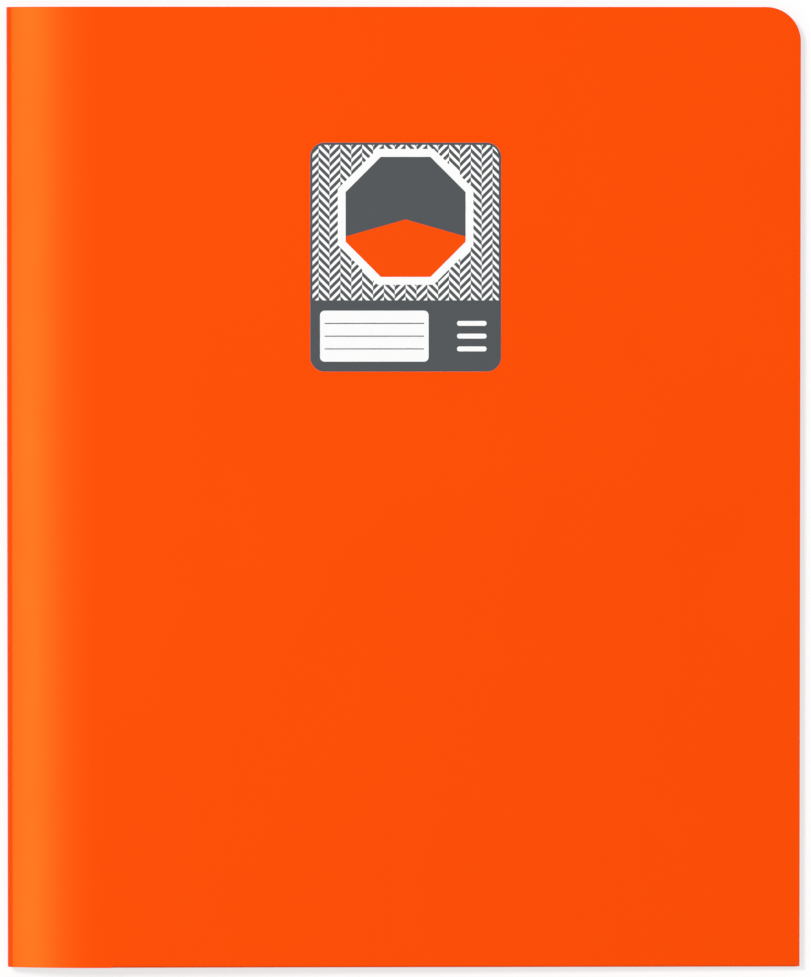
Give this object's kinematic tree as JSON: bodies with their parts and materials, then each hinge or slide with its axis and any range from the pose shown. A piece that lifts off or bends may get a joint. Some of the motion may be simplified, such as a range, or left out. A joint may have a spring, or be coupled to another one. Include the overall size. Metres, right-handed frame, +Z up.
{
  "type": "document portfolio",
  "caption": "Pocket folder for loose documents: a poly sheet rolled at the spine into two covers, its foot folded up inside into welded pockets, with a label on the front.",
  "frame": {"origin": "under the middle of the closed folder, on the surface that its back cover lies on", "axes": "+X from the spine to the fore-edge, +Y from the foot to the head, +Z up through the front cover"},
  "size_m": [0.2412, 0.2922, 0.0081],
  "materials": {
    "poly_sheet": "opaque orange polypropylene sheet, fine satin grain",
    "weld": "the same sheet where it is melted together, smoother and slightly darker",
    "label_paper": "coated label paper printed grey, white and orange"
  },
  "bodies": {
    "back": {"back_cover": "poly_sheet", "back_pocket_fold": "poly_sheet", "back_pocket_panel": "poly_sheet", "back_pocket_weld": "weld"},
    "back_pocket_corner": {"back_pocket_corner": "poly_sheet"},
    "spine_heel": {"spine_heel": "poly_sheet"},
    "spine_nose_1": {"spine_nose_1": "poly_sheet"},
    "spine_nose_2": {"spine_nose_2": "poly_sheet"},
    "spine_nose_3": {"spine_nose_3": "poly_sheet"},
    "spine_shoulder_1": {"spine_shoulder_1": "poly_sheet"},
    "spine_shoulder_2": {"spine_shoulder_2": "poly_sheet"},
    "front": {"front_cover": "poly_sheet", "front_pocket_fold": "poly_sheet", "front_pocket_panel": "poly_sheet", "front_pocket_weld": "weld", "cover_label": "label_paper"},
    "front_pocket_corner": {"front_pocket_corner": "poly_sheet"}
  },
  "joints": [
    {"name": "spine_heel_fold", "type": "hinge", "parent": "back", "child": "spine_heel", "pos_m": [-0.11503, 0, 0.00025], "axis": [0, -1, 0], "range_deg": [0, 10]},
    {"name": "spine_nose_1_fold", "type": "hinge", "parent": "spine_heel", "child": "spine_nose_1", "pos_m": [-0.11914, 0, 0.00097], "axis": [0, -1, 0], "range_deg": [0, 34.33]},
    {"name": "spine_nose_2_fold", "type": "hinge", "parent": "spine_nose_1", "child": "spine_nose_2", "pos_m": [-0.12034, 0, 0.00215], "axis": [0, -1, 0], "range_deg": [0, 48.67]},
    {"name": "spine_nose_3_fold", "type": "hinge", "parent": "spine_nose_2", "child": "spine_nose_3", "pos_m": [-0.12025, 0, 0.00383], "axis": [0, -1, 0], "range_deg": [0, 48.67]},
    {"name": "spine_shoulder_1_fold", "type": "hinge", "parent": "spine_nose_3", "child": "spine_shoulder_1", "pos_m": [-0.11893, 0, 0.00487], "axis": [0, -1, 0], "range_deg": [0, 28.13]},
    {"name": "spine_shoulder_2_fold", "type": "hinge", "parent": "spine_shoulder_1", "child": "spine_shoulder_2", "pos_m": [-0.10589, 0, 0.00722], "axis": [0, -1, 0], "range_deg": [0, 7.6]},
    {"name": "front_cover_fold", "type": "hinge", "parent": "spine_shoulder_2", "child": "front", "pos_m": [-0.09265, 0, 0.00782], "axis": [0, -1, 0], "range_deg": [0, 3.8]},
    {"name": "back_pocket_crease", "type": "hinge", "parent": "back", "child": "back_pocket_corner", "pos_m": [-0.08865, -0.14525, 0.00135], "axis": [0.9003, 0.4353, 0], "range_deg": [0, 1.4]},
    {"name": "front_pocket_crease", "type": "hinge", "parent": "front", "child": "front_pocket_corner", "pos_m": [-0.08867, -0.14525, 0.00663], "axis": [-0.9001, -0.4352, 0.0189], "range_deg": [0, 1.4]}
  ]
}
